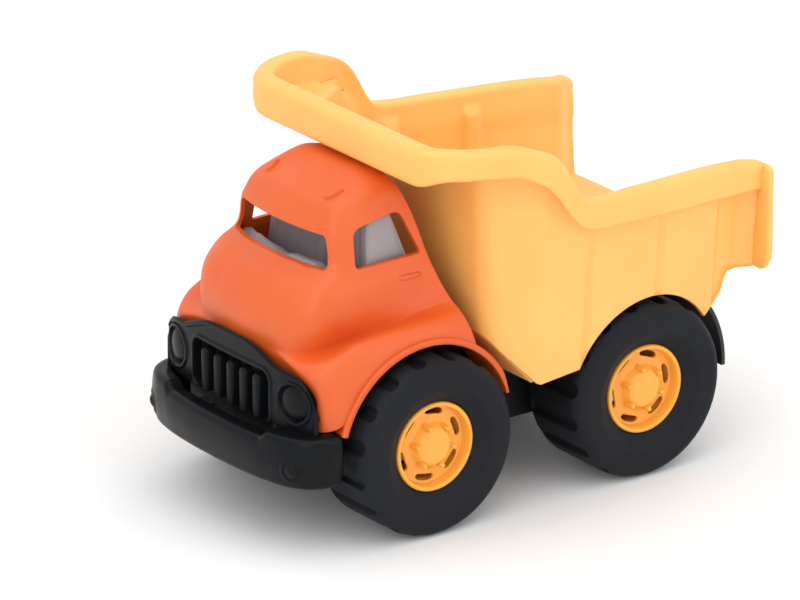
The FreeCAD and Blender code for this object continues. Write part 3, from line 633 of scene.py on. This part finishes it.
def lamp_relief(distance, radius, ring, sink, dome):
    """Height of a round lamp: a raised ring, a sunk edge and a domed lens."""
    bezel = ring * (smoothstep(radius - 0.2, radius + 0.4, distance)
                    - smoothstep(radius + 1.3, radius + 2.0, distance))
    inside = 1 - smoothstep(radius - 0.5, radius + 0.1, distance)
    lens = -sink + dome * np.sqrt(np.clip(1 - (distance / (radius - 0.3)) ** 2, 0, 1))
    return bezel + inside * lens


def grille_relief(s, z, edge):
    """How far the grille stands out: rim, sunk radiator with five round bars, two headlights."""
    height = 1.3 * (1 - smoothstep(2.2, 3.2, edge)) - 0.9 * (1 - smoothstep(0.0, 0.9, edge))
    radiator = box_distance(s, z - 70.3, 30.5, 12.6, 5)
    height = np.where(radiator < 2.6, height + 0.7 * (1 - smoothstep(1.6, 2.6, radiator)), height)
    sunk = 1 - smoothstep(-0.9, 0.3, radiator)
    height = height * (1 - sunk) - 4.6 * sunk
    for place_x in (-20.8, -10.4, 0.0, 10.4, 20.8):
        bar = np.hypot(s - place_x, np.maximum(np.abs(z - 67) - 10.2, 0))
        height = np.maximum(height, -4.6 + 5.7 * np.sqrt(np.clip(1 - (bar / 3.15) ** 4, 0, 1)))
    for sign in (-1, 1):
        distance = np.hypot(s - sign * 47.2, z - 72.2)
        near = distance < 11.8
        height = np.where(near, np.maximum(height, 0) * smoothstep(11.3, 11.8, distance)
                          + lamp_relief(distance, 9.2, 1.0, 1.3, 2.4), height)
    return height


def grille():
    """Black mask over the nose, with sunk slots between round bars and two domed headlights."""
    path, outward, s = along_path(both_sides([(0, -122.4), (26, -121.9), (41, -120.6), (51, -118.6),
                                              (57, -116.6), (60.4, -114.6)]), 0.38)
    top = slope_curve([0, 20, 29, 37, 46, 53, 57.5, 60, 61.4, 66],
                      [95.4, 94.2, 91, 88, 87, 84.4, 79, 72, 67, 61], np.abs(s))
    bottom = 58.5
    levels = np.linspace(0, 1, 92)
    z = bottom + (top[:, None] - bottom) * levels
    wide = np.repeat(s[:, None], len(levels), axis=1)
    slope = np.gradient(top, s)[:, None]
    from_top = (top[:, None] - z) / np.sqrt(1 + slope ** 2)
    from_end = s[-1] - np.abs(wide)
    edge = np.minimum(from_top, from_end)
    lift = grille_relief(wide, z, edge)
    points = np.dstack([path[:, 0, None] + outward[:, 0, None] * lift,
                        path[:, 1, None] + outward[:, 1, None] * lift, z])
    faces = grid_faces(len(s), len(levels))
    obj = new_object("grille_mask", points.reshape(-1, 3), faces, BLACK, 80)
    wall = obj.modifiers.new("wall", "SOLIDIFY")
    wall.thickness = 2.2 * MM
    wall.offset = 1 if obj.data.polygons[len(faces) // 2].normal.y > 0 else -1
    settle(obj, 60)
    return place(obj, "chassis", "black_plastic", "grille")


def bumper():
    """Big round-edged bar that wraps the front corners, higher under the headlights, with fog lamps."""
    half = [(0, -136), (22, -135.4), (40, -133.4), (54, -129.6), (63, -123.4), (67.4, -114.6), (67.6, -104.6)]
    path, outward, s = along_path(both_sides(half), 0.55)
    sections = []
    end = s[-1]
    for (x, y), (nx, ny), place_s in zip(path, outward, s):
        top = 56.0 + 3.2 * smoothstep(36, 42, abs(place_s))
        tip = min(end - abs(place_s), 1.2) / 1.2
        round_in = 1.2 * (1 - math.sqrt(1 - (1 - tip) ** 2))
        corners = [(-9.5, top - 0.5), (-1.4 - round_in, top - round_in), (-round_in, 46),
                   (-2.6 - round_in, 33 + round_in), (-9.5, 34.2)]
        outline = rounded(corners, [5.2, 14, 6.5], arc=10, runs=[3, 4, 4, 2])
        depth, z = outline.T
        lamp = np.hypot(abs(place_s) - 57.6, z - 43)
        lift = np.where(lamp < 6.6, lamp_relief(lamp, 4.3, 0.5, 1.2, 2.8), 0)
        lift = np.where(depth > -4, lift, 0)
        depth = depth + lift
        sections.append(np.column_stack([x + nx * depth, y + ny * depth, z]))
    obj = sweep_solid("bumper_bar", sections, BLACK, 60)
    return place(obj, "chassis", "black_plastic", "front_bumper")


# ---- bed ------------------------------------------------------------------------------

def bed_paths():
    """The wall's and the lip's outlines seen from above, from the middle of the front to the tail."""
    runs = [14, 5, 6, 6, 112]
    wall = rounded([(0, -24), (65.5, -24), (76, -8), (81.5, 0), (84.5, 20), (73, TAIL)], [11, 9, 6, 14],
                   9, runs)
    lip = rounded([(0, -61), (69.5, -61), (86.5, -42), (90.5, -14), (90.8, 20), (79.5, TAIL)],
                  [12, 12, 12, 14], 9, runs)
    return wall, lip


def outward_of(path):
    """Directions square to a path seen from above, pointing away from the truck."""
    ahead = np.gradient(path, axis=0)
    normal = np.column_stack([ahead[:, 1], -ahead[:, 0]])
    normal /= np.linalg.norm(normal, axis=1)[:, None]
    normal[0] = (0, -1)
    return normal


def crest_height(y):
    """Height of the bed's top edge: high over the cab, an S down, level to the tail."""
    return slope_curve([-70, -33, -24, -17, -10.5, -1, 5.5, 12, 17, 21.5, 27, 60, TAIL - 8, TAIL - 4,
                        TAIL - 1.5, TAIL + 9],
                       [189.2, 189.2, 188.9, 187.6, 185.0, 179.0, 173.0, 164.2, 157.6, 154.6, 153.6, 151.9,
                        147.6, 147.0, 145.4, 143.0], y)


def lip_bottom(y):
    """Height of the lip's lower edge."""
    return slope_curve([-70, -61, -57, -45, -30, -21, -14, -5, 2, 9, 16, 24, 40, TAIL + 9],
                       [170.6, 170.8, 174.0, 176.2, 176.0, 174.8, 171.6, 166.0, 158.6, 149.2, 142.0,
                        138.6, 137.2, 131.8], y)


def skirt_height(y):
    """Height of the wall's lower edge: diagonal at the front, wheel arch, stepped tail."""
    edge = np.interp(y, [-23.5, -2.5, 0.5, 25, 98, 106.6, 108.4, 116, 117.6, 119.6, 133, TAIL],
                     [88.4, 63.8, SKIRT, SKIRT + 2.5, SKIRT, 71.4, 73, 81.4, 87.6, 91.5, 92.2, 97])
    inside = np.clip(47.3 ** 2 - (np.asarray(y) - REAR_AXLE) ** 2, 0, None)
    return np.maximum(edge, TYRE_RADIUS + np.sqrt(inside))


def wall_groove(y, full, end):
    """Upright grooves in the outside of the wall, which are wider ribs on its inside."""
    return sum(float(smoothstep(end, full, abs(y - centre))) for centre in (28.5, 74.5))


def bed_section(wall, lip, normal, lip_normal, last):
    """One section through the wall and lip, from the underside of the floor, round the outside,
    over the top, down the inside to the floor, as points in space."""
    reach = lip - wall
    gap = np.linalg.norm(reach)
    towards = reach / gap + (lip_normal - reach / gap) * smoothstep(9.5, 16, gap)
    top = float(crest_height(np.array([lip[1]]))[0])
    low = float(lip_bottom(np.array([lip[1]]))[0])
    skirt = float(skirt_height(wall[1]))
    canopy = smoothstep(14, 26, gap)
    under = (low + 0.8) * (1 - canopy) + min(low - 2.6, 167.2) * canopy
    inner = gap - LIP_REACH
    ledge = top - 14.5 + (174.2 - top + 14.5) * canopy
    foot = ledge - 9 + (170 - ledge + 9) * canopy
    wall_inner = -2.6
    corners = [(wall_inner, 93.5), (wall_inner, skirt), (0, skirt), (0, under), (gap, low),
               (gap - 0.3, top), (inner, top), (inner - 0.2 * (1 - canopy), ledge), (wall_inner, foot),
               (wall_inner, BED_FLOOR), (wall_inner - 4, BED_FLOOR)]
    radii = [0.7, 0.7, 1.6, 2.6, 6.6, 2.6, 3.0, 3.0, 2.4]
    outline = rounded(corners, radii, 5, [1, 1, 9, 3, 4, 1, 9, 4, 9, 1])
    away, z = outline.T
    steep = 3.3 + 3.7 * smoothstep(-15, 20, wall[1])
    draft = steep * np.clip((z - 153.8) / 91.5, -1, 0.12)
    outer_side = (np.abs(away) < 0.01) & (z < under - 1.0)
    inner_side = (away < -2) & (z > BED_FLOOR + 1) & (np.arange(len(z)) > len(z) // 2)
    grooves = -1.5 * wall_groove(wall[1], 0.8, 3.2) * smoothstep(under - 1, under - 7, z)
    ribs = -2.8 * wall_groove(wall[1], 2.6, 6.4) * smoothstep(top - 6, top - 12, z)
    dent = np.where(outer_side, grooves, 0.0) + np.where(inner_side, ribs, 0.0)
    facet = -1.7 * smoothstep(110, 112.5, wall[1])
    dent += np.where((z < under - 0.5) & (np.abs(away) < 0.01), facet, 0.0)
    rolled = min(LIP_REACH, gap)
    root = lip - rolled * towards
    part_way = np.clip(away / max(gap - rolled, 1e-6), 0, 1)[:, None] if gap > rolled else 1.0
    flat = wall + np.minimum(away, 0)[:, None] * normal
    flat = np.where(away[:, None] > 0, wall + (root - wall) * part_way, flat)
    flat += np.maximum(away - (gap - rolled), 0)[:, None] * towards
    flare = 5.5 * smoothstep(TAIL - 12, TAIL - 0.5, wall[1]) * np.clip(1 - away / gap, 0, 1)
    flat += (draft + dent + flare)[:, None] * normal
    if last:
        flat[:, 1] = TAIL
    return np.column_stack([flat, z])


def bed_shell():
    """The tub, canopy and lip as one closed solid, with flat faces for the floor and the tail."""
    wall, lip = bed_paths()
    stations = zip(wall, lip, outward_of(wall), outward_of(lip), np.arange(len(wall)) == len(wall) - 1)
    half = [bed_section(*station) for station in stations]
    sections = [mirror(section) for section in half[:0:-1]] + half
    count = len(half[0])
    total = len(sections)
    faces = grid_faces(total, count)
    first = [row * count for row in range(total)]
    final = [row * count + count - 1 for row in range(total)]
    faces.append(tuple(first))
    faces.append(tuple(final[::-1]))
    faces.append(tuple(range(count)) + tuple(range(total * count - 1, (total - 1) * count - 1, -1)))
    return new_object("tub", np.concatenate(sections), faces, YELLOW, 45)


def rear_flange(side):
    """The rolled edge that runs down from the end of the lip, beside the open tail."""
    outline = loop_outline([(71.0, 92), (79.5, 91.4), (83.8, 99), (83.8, 145.2), (75.8, 145.4)],
                           [2, 5, 3, 6, 2], 7)
    middle = outline.mean(axis=0)
    sections = []
    for y, shrink in ((TAIL - 3.2, 1.6), (TAIL - 2.9, 0.7), (TAIL - 2.2, 0.15), (TAIL - 1.0, 0.0),
                      (TAIL - 0.35, 0.25), (TAIL - 0.02, 0.8)):
        ring = outline - np.sign(outline - middle) * shrink * (0.6, 0.6)
        sections.append(np.column_stack([side * ring[:, 0], np.full(len(ring), y), ring[:, 1]]))
    return sweep_solid("flange", sections, YELLOW)


def front_panel():
    """The closed slanting face under the tub's front wall."""
    sections = []
    for y, z, half, thick in ((-21.4, 89.2, 56, 2.0), (-20.9, 88.4, 57, 2.6), (-17.4, 84.2, 62, 2.6),
                              (-12, 77.2, 66.8, 2.6), (-6, 69.8, 70.2, 2.6), (-1.4, 64.2, 73.2, 2.6),
                              (-0.8, 63.5, 73.4, 1.8)):
        sections.append(np.array([(-half, y, z), (half, y, z), (half, y + thick, z + 0.4 * thick),
                                  (-half, y + thick, z + 0.4 * thick)]))
    return sweep_solid("panel", sections, YELLOW)


def hinge_lug(side):
    """A lug under the bed that turns on the hinge pin."""
    outline = loop_outline([(103, 95.5), (103, 79), (106, 76), (112, 76), (115, 79), (115, 95.5)],
                           [0.5, 2, 3, 3, 2, 0.5])
    return prism("lug", outline, "x", side * 17.5 - 2.5, side * 17.5 + 2.5, YELLOW)


def bed():
    """Yellow tipping bed."""
    parts = [bed_shell(), front_panel()]
    for side in (1, -1):
        parts += [rear_flange(side), hinge_lug(side)]
    obj = join("bed_tub", parts)
    return place(obj, "bed", "yellow_plastic", "dump_bed")


# ---- carried-over CAD nodes -----------------------------------------------------------

def dress(names, material):
    """Give CAD nodes their finish."""
    for name in names:
        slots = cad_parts[name].data.materials
        for index in range(len(slots)):
            slots[index] = material
        if not len(slots):
            slots.append(material)


# ---- camera, floor and light ----------------------------------------------------------

def camera():
    """Long lens, turned and raised to the photograph's viewing angle."""
    data = bpy.data.cameras.new("camera")
    data.lens = 351
    data.sensor_width = 36
    obj = bpy.data.objects.new("camera", data)
    right = Vector((0.5931, 0.8051, 0.0))
    back = Vector((0.7522, -0.5541, 0.3566)).normalized()
    up = back.cross(right).normalized()
    right = up.cross(back)
    turn = Matrix((right, up, back)).transposed().to_4x4()
    obj.matrix_world = Matrix.Translation((2.785, -2.075, 1.408)) @ turn
    bpy.context.scene.collection.objects.link(obj)
    bpy.context.scene.camera = obj


def floor():
    """Plain pale floor."""
    material = bpy.data.materials.new("pale_floor")
    material.use_nodes = True
    tree = material.node_tree
    shader = tree.nodes["Principled BSDF"]
    shader.inputs["Roughness"].default_value = 0.7
    shader.inputs["Specular IOR Level"].default_value = 0.2
    tone = noise(tree, 3)
    blend = tree.nodes.new("ShaderNodeMix")
    blend.data_type = "RGBA"
    blend.inputs["A"].default_value = (0.90, 0.90, 0.90, 1)
    blend.inputs["B"].default_value = (0.93, 0.93, 0.93, 1)
    wire(tree, blend, 0, tone)
    tree.links.new(blend.outputs["Result"], shader.inputs["Base Color"])
    reach = 9000.0
    obj = new_object("floor", [(-reach, -reach, 0), (reach, -reach, 0), (reach, reach, 0),
                               (-reach, reach, 0)], [(0, 1, 2, 3)], material)


def softbox(name, place_m, aim_m, size, power):
    """A large soft light."""
    data = bpy.data.lights.new(name, "AREA")
    data.shape = "RECTANGLE"
    data.size = size[0]
    data.size_y = size[1]
    data.energy = power
    obj = bpy.data.objects.new(name, data)
    aim = Vector(aim_m) - Vector(place_m)
    obj.matrix_world = Matrix.Translation(place_m) @ aim.to_track_quat("-Z", "Y").to_matrix().to_4x4()
    bpy.context.scene.collection.objects.link(obj)


def studio():
    """White surroundings, a broad top light, a key from the front and a fill."""
    world = bpy.data.worlds.new("studio")
    world.use_nodes = True
    world.node_tree.nodes["Background"].inputs["Color"].default_value = (1, 1, 1, 1)
    world.node_tree.nodes["Background"].inputs["Strength"].default_value = 0.94
    bpy.context.scene.world = world
    bpy.context.scene.view_settings.view_transform = "Standard"
    softbox("top", (0.2, -0.1, 1.3), (0, 0, 0.08), (1.7, 1.7), 7)
    softbox("key", (0.9, -1.3, 0.9), (0, 0, 0.08), (1.1, 1.1), 5)
    softbox("fill", (1.4, 0.7, 0.7), (0, 0, 0.08), (0.9, 0.9), 2.5)


# ---- scene ----------------------------------------------------------------------------

camera()
floor()
studio()
for end, axle, phase in (("front", FRONT_AXLE, -0.175), ("rear", REAR_AXLE, -0.349)):
    for name, side in (("left", 1), ("right", -1)):
        tyre(f"tyre_{end}_{name}", side, axle, f"{end}_wheels")
        rim(f"rim_{end}_{name}", side, axle, phase, f"{end}_wheels")
cab()
interior()
grille()
bumper()
bed()
dress(["chassis_frame", "front_axle_clip", "rear_axle_clip"], FRAME_BLACK)
dress(["front_axle", "rear_axle", "bed_hinge_pin", "clip_screws", "cab_screws", "interior_screws"], STEEL)
